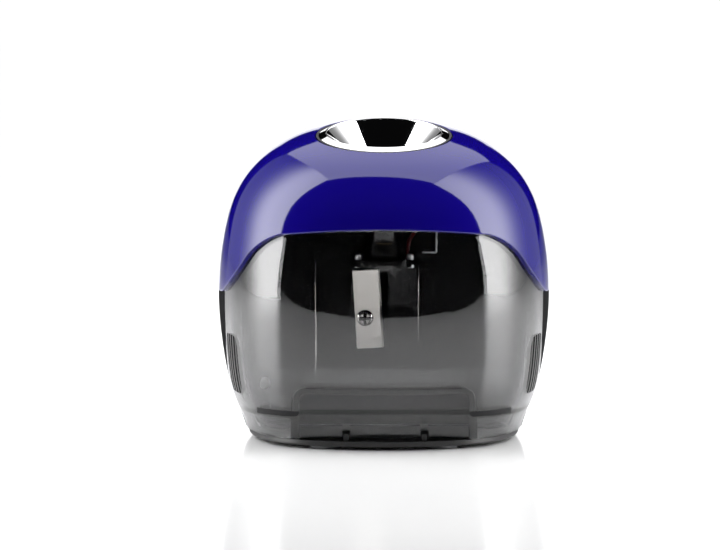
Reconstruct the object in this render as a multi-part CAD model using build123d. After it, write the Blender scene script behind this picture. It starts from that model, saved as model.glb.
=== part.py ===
from build123d import *
from math import atan2, cos, degrees, hypot, pi, radians, sin, sqrt, tan
import os

os.makedirs("parts", exist_ok=True)

# Battery pencil sharpener, in millimetres. Origin on the table under the middle of the body,
# +Z up, front (shavings bin) towards -Y, +X to the right seen from the front.

# ---------------------------------------------------------------- driving dimensions
BODY_STATIONS = [  # (height, half width) of the moulded body, from the base line to the dish rim
    (2.6, 41.0), (11.0, 44.1), (21.0, 46.8), (31.0, 48.3), (41.0, 49.0), (52.0, 48.6),
    (62.0, 47.1), (70.0, 44.9), (77.5, 40.9), (83.3, 35.3), (87.4, 28.8), (90.2, 20.4),
]
SQUARENESS = 0.39         # how far the side arcs' centres lie past the axis, over the half width
LEAN_START = 50.0         # height above which the sections lean forward
RIM_HEIGHT = 90.2         # centre of the dish rim
RIM_SHIFT = -7.0          # the rim's centre lies forward of the base's centre
RIM_LEAN = 8.5            # degrees the rim leans forward
WALL = 2.2                # moulded wall of the housings
BIN_WALL = 2.0
VISOR_INSET = 1.4         # the bin's visor sits this far inside the body surface
GAP = 0.4                 # parting gap between mouldings

PARTING_Z = 43.3          # lower edge of the dome at the sides and the back
ARCH_TOP = 66.4           # highest point of the arch over the visor
ARCH_SHOULDER = (31.0, 64.1)
ARCH_BEND = (36.8, 60.9)
ARCH_FLANK = (41.0, 56.3)
ARCH_FOOT = (47.6, 45.2)
ARCH_TOE = (50.6, 43.3)

BASE_BOTTOM = 1.0
BASE_TOP = 2.6
BASE_HALF = 39.9
FOOT_R = 4.8
FOOT_POCKET = 0.5
FOOT_SPOTS = [(17.0, -31.0), (-17.0, -31.0), (24.0, 29.0), (-24.0, 29.0)]

PENCIL_Y = -5.6           # the pencil and cutter axis is vertical, at x = 0
PENCIL_R = 4.4            # clear radius for a pencil
DISH_R = 19.3             # outer radius of the chrome rim
DISH_LIP = 2.2            # flat rim width
DISH_DEPTH = 8.6
DISH_WALL = 1.2
OPENING_R = 20.1          # hole in the dome for the seat ring

DECK_Z = 65.5             # underside of the gear deck
DECK_T = 2.0
PARTITION_Y = 5.4         # front face of the chamber wall
PARTITION_T = 1.8

MODULE = 0.8
CUTTER_TEETH = 40
IDLER_SMALL_TEETH = 12
IDLER_LARGE_TEETH = 34
PINION_TEETH = 10
MOTOR_Y = 21.4
MOTOR_R = 12.0
MOTOR_LENGTH = 26.0
SHAFT_R = 1.0

NECK_R = 5.8              # neck of the cutter holder
CUTTER_BORE_R = 4.7       # way through the neck, wider than the pencil's guide
HOLDER_R = 10.2
HOLDER_BOTTOM = 25.0
HOLDER_TOP = 52.0
FLANGE_T = 1.6
NECK_TOP = 74.6
CONE_TIP_Z = 26.6
CONE_LENGTH = 24.0
CONE_HALF_ANGLE = 9.4     # lean of the sharpening cone's side and of the blade
BLADE = (8.0, 1.2, 24.0)  # width, thickness, length
BLADE_LEAN = 3.3          # degrees the blade leans in the front view
BLADE_SCREW = (-5.6, 36.0)

CELL_R = 7.0
CELL_LENGTH = 49.2
CELL_YS = (14.6, 29.0)
CELL_ZS = (13.5, 27.9)


def save(solid, node):
    """Write one node to its STEP file."""
    solid.label = node
    export_step(solid, f"parts/{node}.step")


def tube(radius_outer, radius_inner, height):
    """A ring standing on z = 0."""
    outer = Cylinder(radius_outer, height, align=(Align.CENTER, Align.CENTER, Align.MIN))
    inner = Cylinder(radius_inner, height, align=(Align.CENTER, Align.CENTER, Align.MIN))
    return outer - inner


def rod(radius, height):
    return Cylinder(radius, height, align=(Align.CENTER, Align.CENTER, Align.MIN))


def block(x0, x1, y0, y1, z0, z1):
    """A box between two corners."""
    size = Box(x1 - x0, y1 - y0, z1 - z0)
    return Pos((x0 + x1) / 2, (y0 + y1) / 2, (z0 + z1) / 2) * size


# ---------------------------------------------------------------- body surface
def lean_share(height):
    return max(0.0, (height - LEAN_START) / (RIM_HEIGHT - LEAN_START))


def section(height, half_width):
    """Rounded-square cross-section: four flat side arcs and four tighter corner arcs."""
    share = lean_share(height)
    offset = SQUARENESS * (1.0 - share) * half_width
    joint = radians(22.5)
    far = -offset + (half_width + offset) * cos(joint)
    near = (half_width + offset) * sin(joint)
    corner = (half_width + 0.1522 * offset) / sqrt(2.0)
    ends = [(far, near), (near, far), (-near, far), (-far, near)]
    ends += [(-x, -y) for x, y in ends]
    middles = [(corner, corner), (0, half_width), (-corner, corner), (-half_width, 0)]
    middles += [(-x, -y) for x, y in middles]
    edges = []
    for index in range(8):
        edges.append(ThreePointArc(ends[index], middles[index], ends[(index + 1) % 8]))
    lean = radians(RIM_LEAN * share)
    plane = Plane(origin=(0, RIM_SHIFT * share, height), x_dir=(1, 0, 0), z_dir=(0, -sin(lean), cos(lean)))
    return plane * make_face(edges)


def inset_stations(stations, depth):
    """The same outline moved inwards by depth along its normal; depth may vary with height."""
    moved = []
    for index, (height, half_width) in enumerate(stations):
        low = stations[max(index - 1, 0)]
        high = stations[min(index + 1, len(stations) - 1)]
        rise = high[0] - low[0]
        run = high[1] - low[1]
        length = hypot(rise, run)
        amount = depth(height) if callable(depth) else depth
        moved.append((height + amount * run / length, half_width - amount * rise / length))
    return moved


def body_solid(stations):
    return loft([section(height, half_width) for height, half_width in stations])


def visor_inset(height):
    """The bin is flush with the body low down and steps in towards the arch."""
    share = min(1.0, max(0.0, (height - 12.0) / 28.0))
    return VISOR_INSET * share * share * (3.0 - 2.0 * share)


def stretched(stations, drop):
    """Continue the outline a little below its first station, so that cuts have room."""
    (z0, r0), (z1, r1) = stations[0], stations[1]
    slope = (r1 - r0) / (z1 - z0)
    return [(z0 - drop, r0 - drop * slope)] + stations[1:]


OUTER = body_solid(stretched(BODY_STATIONS, 1.5))
INNER = body_solid(inset_stations(stretched(BODY_STATIONS, 1.5), WALL))
LINER = body_solid(inset_stations(stretched(BODY_STATIONS, 1.5), WALL + 0.05))

BIN_STATIONS = inset_stations(stretched(BODY_STATIONS, 1.5), visor_inset)
BIN_OUTER = body_solid(BIN_STATIONS)
BIN_INNER = body_solid(inset_stations(BIN_STATIONS, BIN_WALL))

RIM_PLANE = Plane(
    origin=(0, RIM_SHIFT, RIM_HEIGHT),
    x_dir=(1, 0, 0),
    z_dir=(0, -sin(radians(RIM_LEAN)), cos(radians(RIM_LEAN))),
)


def arch_tool(lift):
    """Everything under the arch, in front of the parting plane, seen from the front."""
    top = ARCH_TOP + lift
    right = [ARCH_SHOULDER, ARCH_BEND, ARCH_FLANK, ARCH_FOOT, ARCH_TOE]
    right = [(x, z + lift) for x, z in right]
    left = [(-x, z) for x, z in right]
    knee = ((ARCH_FOOT[0] + ARCH_TOE[0]) / 2 - 0.45, (ARCH_FOOT[1] + ARCH_TOE[1]) / 2 - 0.5 + lift)
    edges = [
        ThreePointArc(left[0], (0, top), right[0]),
        ThreePointArc(right[0], right[1], right[2]),
        Line(right[2], right[3]),
        ThreePointArc(right[3], knee, right[4]),
        Line(right[4], (60, right[4][1])),
        Line((60, right[4][1]), (60, -10)),
        Line((60, -10), (-60, -10)),
        Line((-60, -10), (-60, left[4][1])),
        Line((-60, left[4][1]), left[4]),
        ThreePointArc(left[4], (-knee[0], knee[1]), left[3]),
        Line(left[3], left[2]),
        ThreePointArc(left[2], left[1], left[0]),
    ]
    face = Plane.XZ * make_face(edges)
    return extrude(face, amount=70)


# ---------------------------------------------------------------- housings
def screw_boss(x, y, z0, z1):
    return Pos(x, y, z0) * tube(3.0, 1.25, z1 - z0)


HOUSING_SCREWS = [(33.5, 18.5), (-33.5, 18.5)]
DOME_SCREWS = [(34.0, 14.0), (-34.0, 14.0), (30.0, -24.0), (-30.0, -24.0)]
GUIDE_TABS = (-11.2, 11.9)


def upper_housing():
    shell = OUTER - INNER
    shell -= block(-60, 60, -60, 60, -5, PARTING_Z)
    shell -= arch_tool(0.0)
    shell -= RIM_PLANE * Cylinder(OPENING_R, 30)
    for x, y in DOME_SCREWS:
        shell += screw_boss(x, y, DECK_Z + DECK_T, 84.0) & INNER
    return shell


DOOR_HALF = 27.0
DOOR_LOW = 7.0
DOOR_HIGH = 35.6


def door_tool(grow):
    opening = block(-DOOR_HALF - grow, DOOR_HALF + grow, 30, 60, DOOR_LOW - grow, DOOR_HIGH + grow)
    return fillet(opening.edges().filter_by(Axis.Y), 4.0)


def rear_housing():
    shell = OUTER - INNER
    shell &= block(-60, 60, 0.3, 60, BASE_TOP, PARTING_Z - GAP / 2)
    shell -= door_tool(0.25)
    for x, y in HOUSING_SCREWS:
        side = 1 if x > 0 else -1
        web = block(min(x, x + side * 14), max(x, x + side * 14), y - 0.8, y + 0.8, BASE_TOP, 20.0)
        shell += (screw_boss(x, y, BASE_TOP, 24.0) + web) & INNER
        shell -= Pos(x, y, BASE_TOP) * rod(1.25, 21.4)
    return shell


def battery_door():
    panel = (OUTER - INNER) & door_tool(0.0)
    for x in (-16.0, 16.0):
        panel += block(x - 0.8, x + 0.8, 36.4, 46.0, 10.0, 32.0) & INNER
    for x in (-5.0, 0.0, 5.0):
        groove = Pos(x, 47.2, 30.0) * Box(2.0, 1.6, 6.0)
        panel -= groove
    return panel


def base_plate():
    plate = extrude(section(BASE_BOTTOM, BASE_HALF), amount=BASE_TOP - BASE_BOTTOM)
    plate = fillet(plate.edges().group_by(Axis.Z)[0], 0.6)
    for x, y in FOOT_SPOTS:
        plate -= Pos(x, y, BASE_BOTTOM) * rod(FOOT_R + 0.02, FOOT_POCKET)
    for x, y in HOUSING_SCREWS:
        plate -= Pos(x, y, BASE_BOTTOM) * rod(1.4, 5)
        plate -= Pos(x, y, BASE_BOTTOM) * rod(2.7, 0.7)
    for x in GUIDE_TABS:
        plate += block(x - 0.8, x + 0.8, -36.6, -33.0, BASE_TOP, BASE_TOP + 2.0)
    return plate


def rubber_feet():
    feet = []
    for x, y in FOOT_SPOTS:
        foot = Pos(x, y, 0) * rod(FOOT_R, BASE_BOTTOM + FOOT_POCKET)
        feet.append(fillet(foot.edges().group_by(Axis.Z)[0], 0.5))
    return Compound(children=feet)


def housing_screws():
    screws = []
    for x, y in HOUSING_SCREWS:
        screw = Pos(x, y, BASE_BOTTOM + 0.1) * rod(2.5, 0.55)
        screw += Pos(x, y, BASE_BOTTOM + 0.5) * rod(1.2, 12.0)
        screw -= Pos(x, y, BASE_BOTTOM) * (Box(2.8, 0.6, 0.8) + Box(0.6, 2.8, 0.8))
        screws.append(screw)
    return Compound(children=screws)


# ---------------------------------------------------------------- shavings bin
RECESS_HALF = 25.0
RECESS_TOP = 17.2
RECESS_BACK = -31.0
FLOOR_Z = 9.6
FLOOR_T = 1.5
BIN_BOTTOM = 2.9
BIN_REAR = -0.3
BACK_WALL_TOP = 20.0
GRIP_CENTRE = (-15.0, 23.2)
GRIP_SIZE = (13.0, 17.2)
GRIP_CORNER = 3.4
GRIP_DEPTH = 1.1
GRIP_RIBS = 5


def recess_tool(grow):
    """The space for the fingers under the raised part of the floor."""
    x1 = RECESS_HALF + grow
    shape = block(-x1, x1, -60, RECESS_BACK + grow, -4, RECESS_TOP + grow)
    return fillet(shape.edges().filter_by(Axis.Y).group_by(Axis.Z)[-1], 3.4 + grow)


def grip_tool(side, depth, grow):
    """A rounded upright pocket in the bin's side wall."""
    profile = RectangleRounded(GRIP_SIZE[0] + 2 * grow, GRIP_SIZE[1] + 2 * grow, GRIP_CORNER + grow)
    slot = extrude(Plane.YZ * profile, amount=60)
    slot = Pos(0, GRIP_CENTRE[0], GRIP_CENTRE[1]) * slot
    if side < 0:
        slot = mirror(slot, Plane.YZ)
    core = body_solid(inset_stations(BIN_STATIONS, depth))
    return slot - core


def shavings_bin():
    region = block(-60, 60, -60, BIN_REAR, BIN_BOTTOM, 100) & arch_tool(-GAP)
    shell = (BIN_OUTER - BIN_INNER) & region
    floor = BIN_INNER & block(-60, 60, -60, BIN_REAR, FLOOR_Z, FLOOR_Z + FLOOR_T)
    back = BIN_INNER & block(-60, 60, BIN_REAR - 1.8, BIN_REAR, BIN_BOTTOM, BACK_WALL_TOP)
    cover = BIN_OUTER & (recess_tool(2.0) & block(-60, 60, -60, 0, BIN_BOTTOM, 60))
    tab = BIN_INNER & block(-2.8, 2.8, -45.5, -40.0, 62.0, 65.6)
    tab -= block(-60, 60, -42.3, 0, 0, 100)
    bin_body = shell + floor + back + cover + tab
    bin_body -= recess_tool(0.0)
    for x in GUIDE_TABS:
        bin_body -= block(x - 1.2, x + 1.2, -60, 0, -1, BASE_TOP + 2.4)
    for side in (-1, 1):
        bin_body -= grip_tool(side, GRIP_DEPTH, 0.0)
    return bin_body


def bin_grip(side):
    """Ribbed grip insert in the side slot."""
    pad = grip_tool(side, GRIP_DEPTH, -0.05) & BIN_OUTER
    insert = pad & body_solid(inset_stations(BIN_STATIONS, 0.75))
    pitch = GRIP_SIZE[0] / GRIP_RIBS
    for index in range(GRIP_RIBS):
        y = GRIP_CENTRE[0] + (index - (GRIP_RIBS - 1) / 2) * pitch
        insert += pad & block(-60, 60, y - 0.6, y + 0.6, 0, 60)
    return insert


# ---------------------------------------------------------------- chassis
def idler_centre():
    """Where the idler meets both the pinion and the cutter gear."""
    to_pinion = MODULE * (PINION_TEETH + IDLER_LARGE_TEETH) / 2
    to_cutter = MODULE * (CUTTER_TEETH + IDLER_SMALL_TEETH) / 2
    span = MOTOR_Y - PENCIL_Y
    along = (to_cutter**2 - to_pinion**2 + span**2) / (2 * span)
    return sqrt(to_cutter**2 - along**2), PENCIL_Y + along


IDLER_X, IDLER_Y = idler_centre()
MOTOR_SCREWS = [(8.0, MOTOR_Y), (-8.0, MOTOR_Y)]
PLUNGER_X = -36.0
PLUNGER_Z = 15.0
WIRE_R = 0.6
WIRE_X = 7.0
WIRE_Z = 40.0
WIRE_DECK = (24.0, -12.0)


def chassis():
    """Chamber wall and gear deck, moulded as one piece."""
    wall = block(-60, 60, PARTITION_Y, PARTITION_Y + PARTITION_T, BASE_TOP, DECK_Z)
    deck = block(-60, 60, -38.0, 37.0, DECK_Z, DECK_Z + DECK_T)
    frame = (wall + deck) & LINER
    for x, low, high in ((-20.3, 13, 52), (10.2, 27, 51), (-4.3, 13, 21), (5.3, 13, 21)):
        frame += block(x - 0.35, x + 0.35, PARTITION_Y - 0.5, PARTITION_Y, low, high)
    for side in (-1, 1):
        frame += block(side * 26 - 1, side * 26 + 1, -30, PARTITION_Y, DECK_Z - 4.0, DECK_Z)
    frame -= Pos(0, PENCIL_Y, DECK_Z) * rod(8.0, DECK_T)
    frame -= Pos(0, MOTOR_Y, DECK_Z) * rod(3.1, DECK_T)
    for x, y in MOTOR_SCREWS:
        frame -= Pos(x, y, DECK_Z) * rod(1.1, DECK_T)
    for x, y in DOME_SCREWS:
        frame -= Pos(x, y, DECK_Z) * rod(1.6, DECK_T)
    frame -= Pos(IDLER_X, IDLER_Y, DECK_Z) * rod(1.5, DECK_T)
    frame -= Pos(PLUNGER_X, PARTITION_Y - 1, PLUNGER_Z) * Rot(-90, 0, 0) * rod(1.55, 4)
    frame -= Pos(WIRE_X, PARTITION_Y - 1, WIRE_Z) * Rot(-90, 0, 0) * rod(1.8, 4)
    frame -= Pos(*WIRE_DECK, DECK_Z) * rod(1.0, DECK_T)
    return frame


def dome_screws():
    """Screws that come up through the deck into the dome's bosses."""
    screws = []
    for x, y in DOME_SCREWS:
        head = Pos(x, y, DECK_Z - 1.5) * rod(2.6, 1.5)
        head = fillet(head.edges().group_by(Axis.Z)[0], 0.7)
        head -= Pos(x, y, DECK_Z - 1.5) * (Box(3.0, 0.7, 1.4) + Box(0.7, 3.0, 1.4))
        screws.append(head + Pos(x, y, DECK_Z) * rod(1.25, 9.0))
    return Compound(children=screws)


# ---------------------------------------------------------------- cutter
def blade_frame():
    """Plane on the blade's seat: x across the blade, y along it, z out of the holder."""
    tip = (0.0, PENCIL_Y, CONE_TIP_Z)
    slope = Location((0, 0, 0), (CONE_HALF_ANGLE, 0, 0))
    return Pos(*tip) * slope * Rot(90, 0, 0) * Rot(0, 0, BLADE_LEAN)


def screw_place():
    """Centre of the blade screw's seat on the blade, z out of the blade."""
    depth = (BLADE_SCREW[1] - CONE_TIP_Z) * tan(radians(CONE_HALF_ANGLE))
    seat_y = PENCIL_Y - depth - BLADE[1] - 0.1
    return Pos(BLADE_SCREW[0], seat_y, BLADE_SCREW[1]) * Rot(90 + CONE_HALF_ANGLE, 0, 0)


PIN_XS = (-7.5, 7.8)
PIN_FORWARD = 5.0
PIN_R = 1.1
PIN_LOW = HOLDER_TOP - 0.8


def cutter_holder():
    body = Pos(0, PENCIL_Y, HOLDER_BOTTOM) * rod(HOLDER_R, HOLDER_TOP - HOLDER_BOTTOM)
    body = chamfer(body.edges().group_by(Axis.Z)[0], 1.2)
    flange = Pos(0, PENCIL_Y, HOLDER_TOP) * rod(HOLDER_R + 0.2, FLANGE_T)
    neck = Pos(0, PENCIL_Y, HOLDER_TOP + FLANGE_T) * rod(NECK_R, NECK_TOP - HOLDER_TOP - FLANGE_T)
    body += flange + neck
    seat = blade_frame() * Pos(0, 12, 10) * Box(40, 48.6, 20)
    seat &= block(-20, 20, -40, 20, 10, HOLDER_TOP - 0.6)
    body -= seat
    wide = 0.25 + CONE_LENGTH * tan(radians(CONE_HALF_ANGLE))
    cone = Cone(0.25, wide, CONE_LENGTH, align=(Align.CENTER, Align.CENTER, Align.MIN))
    body -= Pos(0, PENCIL_Y, CONE_TIP_Z) * cone
    body -= Pos(0, PENCIL_Y, CONE_TIP_Z + CONE_LENGTH) * rod(CUTTER_BORE_R, 50)
    body -= screw_place() * Pos(0, 0, -6.0) * rod(1.0, 12.0)
    boss = Pos(5.4, PENCIL_Y - 4.2, 36) * Rot(-90, 0, 0) * (rod(2.8, 7) - rod(1.6, 1.2))
    body += boss & (Pos(0, PENCIL_Y, 20) * (rod(HOLDER_R, 30) - rod(4.0, 30)))
    for x in PIN_XS:
        body -= Pos(x, PENCIL_Y - PIN_FORWARD, PIN_LOW) * rod(PIN_R, 6.0)
    return body


def blade():
    width, thick, length = BLADE
    plate = Box(width, length, thick, align=(Align.MAX, Align.MIN, Align.MIN))
    bevel_edges = plate.edges().filter_by(Axis.Y).sort_by(Axis.X)[-2:]
    plate = chamfer(bevel_edges.sort_by(Axis.Z)[-1:], 0.9, 0.6)
    plate = Pos(0.1, 0.6, 0.02) * plate
    return blade_frame() * plate - screw_place() * Pos(0, 0, -6.0) * rod(1.3, 12.0)


def blade_screw():
    head = rod(2.5, 1.3)
    head = fillet(head.edges().group_by(Axis.Z)[-1], 0.6)
    head -= Pos(0, 0, 1.3) * (Box(3.0, 0.65, 1.3) + Box(0.65, 3.0, 1.3))
    return screw_place() * (head + Pos(0, 0, -5.0) * rod(1.0, 5.0))


def holder_pins():
    pins = []
    for x in PIN_XS:
        pin = Pos(x, PENCIL_Y - PIN_FORWARD, PIN_LOW) * rod(PIN_R, 4.0)
        pins.append(chamfer(pin.edges().group_by(Axis.Z)[-1], 0.3))
    return Compound(children=pins)


# ---------------------------------------------------------------- gears
def gear(teeth, thickness, bore, turn):
    """Spur gear with straight-flanked teeth, a little thin so that the mesh runs free."""
    pitch = MODULE * teeth / 2
    tip = pitch + 0.85 * MODULE
    root = pitch - 1.15 * MODULE
    step = 2 * pi / teeth
    rise = ((-0.30, root), (-0.215, pitch), (-0.095, tip))
    fall = ((0.095, tip), (0.215, pitch), (0.30, root))
    outline = []
    for index in range(teeth):
        middle = index * step + radians(turn)
        for share, radius in rise + fall:
            angle = middle + share * step
            outline.append((radius * cos(angle), radius * sin(angle)))
    face = make_face(Polyline(*outline, close=True))
    return extrude(face, amount=thickness) - rod(bore, thickness)


LOW_MESH_Z = 68.1
HIGH_MESH_Z = 71.0
GEAR_T = 2.5


def mesh_turns():
    """Tooth phases that put every pair in mesh at rest, in degrees."""
    to_idler = degrees(atan2(IDLER_Y - PENCIL_Y, IDLER_X))
    cutter_turn = to_idler
    small_turn = to_idler + 180.0 + 180.0 / IDLER_SMALL_TEETH
    to_pinion = degrees(atan2(MOTOR_Y - IDLER_Y, -IDLER_X))
    large_turn = to_pinion
    pinion_turn = to_pinion + 180.0 + 180.0 / PINION_TEETH
    return cutter_turn, small_turn, large_turn, pinion_turn


CUTTER_TURN, SMALL_TURN, LARGE_TURN, PINION_TURN = mesh_turns()


def cutter_gear():
    wheel = gear(CUTTER_TEETH, GEAR_T, NECK_R, CUTTER_TURN)
    wheel -= Pos(0, 0, GEAR_T - 0.7) * tube(12.5, 8.6, 1.0)
    return Pos(0, PENCIL_Y, HIGH_MESH_Z) * wheel


def idler_gear():
    large = gear(IDLER_LARGE_TEETH, GEAR_T - 0.3, 1.55, LARGE_TURN)
    small = gear(IDLER_SMALL_TEETH, GEAR_T, 1.55, SMALL_TURN)
    hub = Pos(0, 0, GEAR_T - 0.3) * tube(3.4, 1.55, HIGH_MESH_Z - LOW_MESH_Z - GEAR_T + 0.3)
    wheel = large + hub + Pos(0, 0, HIGH_MESH_Z - LOW_MESH_Z) * small
    return Pos(IDLER_X, IDLER_Y, LOW_MESH_Z) * wheel


def motor_pinion():
    return Pos(0, MOTOR_Y, LOW_MESH_Z) * gear(PINION_TEETH, GEAR_T, SHAFT_R, PINION_TURN)


def idler_axle():
    return Pos(IDLER_X, IDLER_Y, DECK_Z) * rod(1.5, 9.3)


def retaining_ring():
    ring = tube(7.4, NECK_R, 0.7)
    ring -= block(-1.0, 1.0, -10, 0, 0, 1)
    return Pos(0, PENCIL_Y, HIGH_MESH_Z + GEAR_T + 0.1) * ring


def cutter_bush():
    bush = Pos(0, PENCIL_Y, DECK_Z) * tube(8.0, NECK_R + 0.05, DECK_T)
    lip = Pos(0, PENCIL_Y, DECK_Z - 1.0) * tube(9.4, NECK_R + 0.05, 1.0)
    return bush + lip


COVER_Z = 74.9
COVER_T = 1.3
GUIDE_TOP = 80.3


def gear_cover():
    """Cover over the gear train, with the pencil guide tube on top."""
    spots = [
        (0, PENCIL_Y, MODULE * (CUTTER_TEETH / 2 + 0.85) + 1.0),
        (IDLER_X, IDLER_Y, MODULE * (IDLER_LARGE_TEETH / 2 + 0.85) + 1.0),
        (0, MOTOR_Y, MODULE * (PINION_TEETH / 2 + 0.85) + 1.6),
    ]
    outer, inner = None, None
    for x, y, radius in spots:
        wall = Pos(x, y, DECK_Z + DECK_T) * rod(radius + 1.4, COVER_Z + COVER_T - DECK_Z - DECK_T)
        space = Pos(x, y, DECK_Z + DECK_T) * rod(radius, COVER_Z - DECK_Z - DECK_T)
        outer = wall if outer is None else outer + wall
        inner = space if inner is None else inner + space
    cover = outer - inner
    cover += Pos(0, PENCIL_Y, COVER_Z + COVER_T) * rod(7.2, GUIDE_TOP - COVER_Z - COVER_T)
    cover -= Pos(0, PENCIL_Y, COVER_Z - 1) * rod(PENCIL_R, 20)
    cover -= Pos(0, PENCIL_Y, START_Z) * Rot(0, 90, 0) * rod(1.1, 12)
    return cover


# ---------------------------------------------------------------- pencil start switch
START_Z = 79.0
START_TIP = 4.25
START_END = 10.4


def start_plunger():
    """Pin whose tip stands just inside the guide's wall, where a pencil's side meets it."""
    pin = Pos(START_TIP, 0, 0) * (Rot(0, 90, 0) * rod(1.05, START_END - START_TIP))
    pin = fillet(pin.edges().group_by(Axis.X)[0], 0.9)
    collar = Pos(START_END - 2.2, 0, 0) * (Rot(0, 90, 0) * rod(1.9, 0.9))
    return Pos(0, PENCIL_Y, START_Z) * (pin + collar)


def start_switch():
    case = block(12.0, 18.5, PENCIL_Y - 3.2, PENCIL_Y + 3.2, COVER_Z + COVER_T, 81.2)
    case = chamfer(case.edges().filter_by(Axis.Z), 0.5)
    return case


# ---------------------------------------------------------------- dish
def funnel_dish():
    """Chrome dish: rim that falls outwards, steep bowl and an upright throat."""
    inner_r = DISH_R - DISH_LIP
    top = 0.8
    drop = 0.9
    bowl_turn = (9.6, 1.5 - DISH_DEPTH)
    throat = PENCIL_R + 1.4
    bowl_mid = (7.85, 0.4 - DISH_DEPTH)
    outer_mid = (inner_r * 0.66 + 0.5, -DISH_DEPTH * 0.66 - DISH_WALL)
    edges = [
        Line((throat, -DISH_DEPTH), (throat, -DISH_DEPTH - DISH_WALL)),
        ThreePointArc((throat, -DISH_DEPTH - DISH_WALL), outer_mid, (inner_r + 0.4, -DISH_WALL)),
        Line((inner_r + 0.4, -DISH_WALL), (DISH_R, -DISH_WALL)),
        Line((DISH_R, -DISH_WALL), (DISH_R, top - drop)),
        Line((DISH_R, top - drop), (inner_r + 0.35, top)),
        ThreePointArc((inner_r + 0.35, top), (inner_r + 0.08, top - 0.1), (inner_r, top - 0.4)),
        Line((inner_r, top - 0.4), bowl_turn),
        ThreePointArc(bowl_turn, bowl_mid, (throat, -DISH_DEPTH)),
    ]
    profile = Plane.XZ * make_face(edges)
    dish = RIM_PLANE * revolve(profile, Axis.Z)
    sleeve = Pos(0, PENCIL_Y, GUIDE_TOP) * rod(7.2, 1.6)
    dish += sleeve
    dish -= Pos(0, PENCIL_Y, GUIDE_TOP - 6) * rod(7.35, 6)
    dish -= Pos(0, PENCIL_Y, 70) * rod(PENCIL_R, 14)
    return dish


def dish_seat():
    """Black ring that carries the dish in the dome's opening."""
    seat = Pos(0, 0, -1.4) * tube(OPENING_R - 0.05, DISH_R + 0.1, 1.3)
    ledge = Pos(0, 0, -2.3) * tube(OPENING_R - 0.05, DISH_R - 1.5, 1.0)
    return RIM_PLANE * (seat + ledge)


# ---------------------------------------------------------------- motor
def flatted(radius, half_flat, height):
    return rod(radius, height) & block(-half_flat, half_flat, -50, 50, 0, height)


def motor_can():
    can = flatted(MOTOR_R, 10.2, MOTOR_LENGTH - 4.0)
    can = fillet(can.edges().group_by(Axis.Z)[-1], 0.8)
    inside = Pos(0, 0, 0) * flatted(MOTOR_R - 0.9, 9.3, MOTOR_LENGTH - 5.0)
    can -= inside
    can -= rod(SHAFT_R + 0.05, 60)
    for x, _ in MOTOR_SCREWS:
        can -= Pos(x, 0, MOTOR_LENGTH - 6) * rod(0.9, 4)
    return Pos(0, MOTOR_Y, DECK_Z - MOTOR_LENGTH + 4.0) * can


def motor_end_cap():
    cap = flatted(MOTOR_R, 10.2, 4.0)
    cap = chamfer(cap.edges().group_by(Axis.Z)[0], 0.7)
    cap -= Pos(0, 0, 1.5) * rod(SHAFT_R + 0.05, 10)
    for side in (-1, 1):
        cap -= Pos(side * 6.5, 0, 0) * Box(2.4, 0.6, 8)
    return Pos(0, MOTOR_Y, DECK_Z - MOTOR_LENGTH) * cap


def motor_terminals():
    tabs = []
    for side in (-1, 1):
        tab = Pos(side * 6.5, MOTOR_Y, DECK_Z - MOTOR_LENGTH - 0.3) * Box(2.4, 0.6, 4.4)
        tabs.append(tab)
    return Compound(children=tabs)


def motor_rotor():
    """Shaft with its wound armature, inside the can."""
    bottom = DECK_Z - MOTOR_LENGTH + 1.6
    shaft = Pos(0, MOTOR_Y, bottom) * rod(SHAFT_R, 71.4 - bottom)
    core = rod(8.4, 12)
    for index in range(3):
        slot = Rot(0, 0, 120 * index + 60) * Pos(7.2, 0, 6) * Box(4.0, 1.8, 12)
        core -= slot
    return shaft + Pos(0, MOTOR_Y, bottom + 6.5) * core


def motor_screws():
    screws = []
    for x, y in MOTOR_SCREWS:
        shank = Pos(x, y, DECK_Z - 1.6) * rod(0.9, 1.6 + DECK_T)
        low_head = Pos(x, y, DECK_Z + DECK_T - 0.4) * rod(1.05, 0.4)
        screws.append(shank + low_head)
    return Compound(children=screws)


# ---------------------------------------------------------------- batteries
def battery_cell(y, z, flip):
    can = Pos(0, 0, -CELL_LENGTH / 2) * rod(CELL_R, CELL_LENGTH - 1.2)
    can = fillet(can.edges().group_by(Axis.Z)[-1] + can.edges().group_by(Axis.Z)[0], 0.6)
    button = Pos(0, 0, CELL_LENGTH / 2 - 1.2) * rod(2.7, 1.2)
    return Pos(0, y, z) * Rot(0, 90 * flip, 0) * (can + button)


def battery_box():
    """Open tray for the cells, facing the door."""
    low = PARTITION_Y + PARTITION_T
    outer = block(-29.0, 29.0, low, 36.6, CELL_ZS[0] - 8.6, CELL_ZS[1] + 8.6) & LINER
    space = block(-27.6, 27.6, low - 1, 60, CELL_ZS[0] - 7.4, CELL_ZS[1] + 7.4)
    return outer - space


def contact_plates():
    plates = []
    for side in (-1, 1):
        plate = block(min(side * 27.0, side * 27.4), max(side * 27.0, side * 27.4), 9.0, 34.0, 8.0, 33.0)
        plate = fillet(plate.edges().filter_by(Axis.X), 2.0)
        for y, z, flip in CELLS:
            if flip == side:
                plate += Pos(side * 25.85, y, z) * Rot(0, 90, 0) * Cylinder(2.2, 2.3)
        plates.append(plate)
    return Compound(children=plates)


def battery_springs():
    """Conical coils that press on the flat end of each cell."""
    springs = []
    for y, z, flip in CELLS:
        side = -flip
        coil = None
        for index, radius in enumerate((4.2, 3.4, 2.6)):
            ring = Pos(side * (26.6 - 0.75 * index), y, z) * Rot(0, 90, 0) * Torus(radius, 0.4)
            coil = ring if coil is None else coil + ring
        bar = Pos(side * 25.825, y, z + 3.4) * Box(2.15, 0.6, 2.2)
        springs.append(coil + bar)
    return Compound(children=springs)


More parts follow.
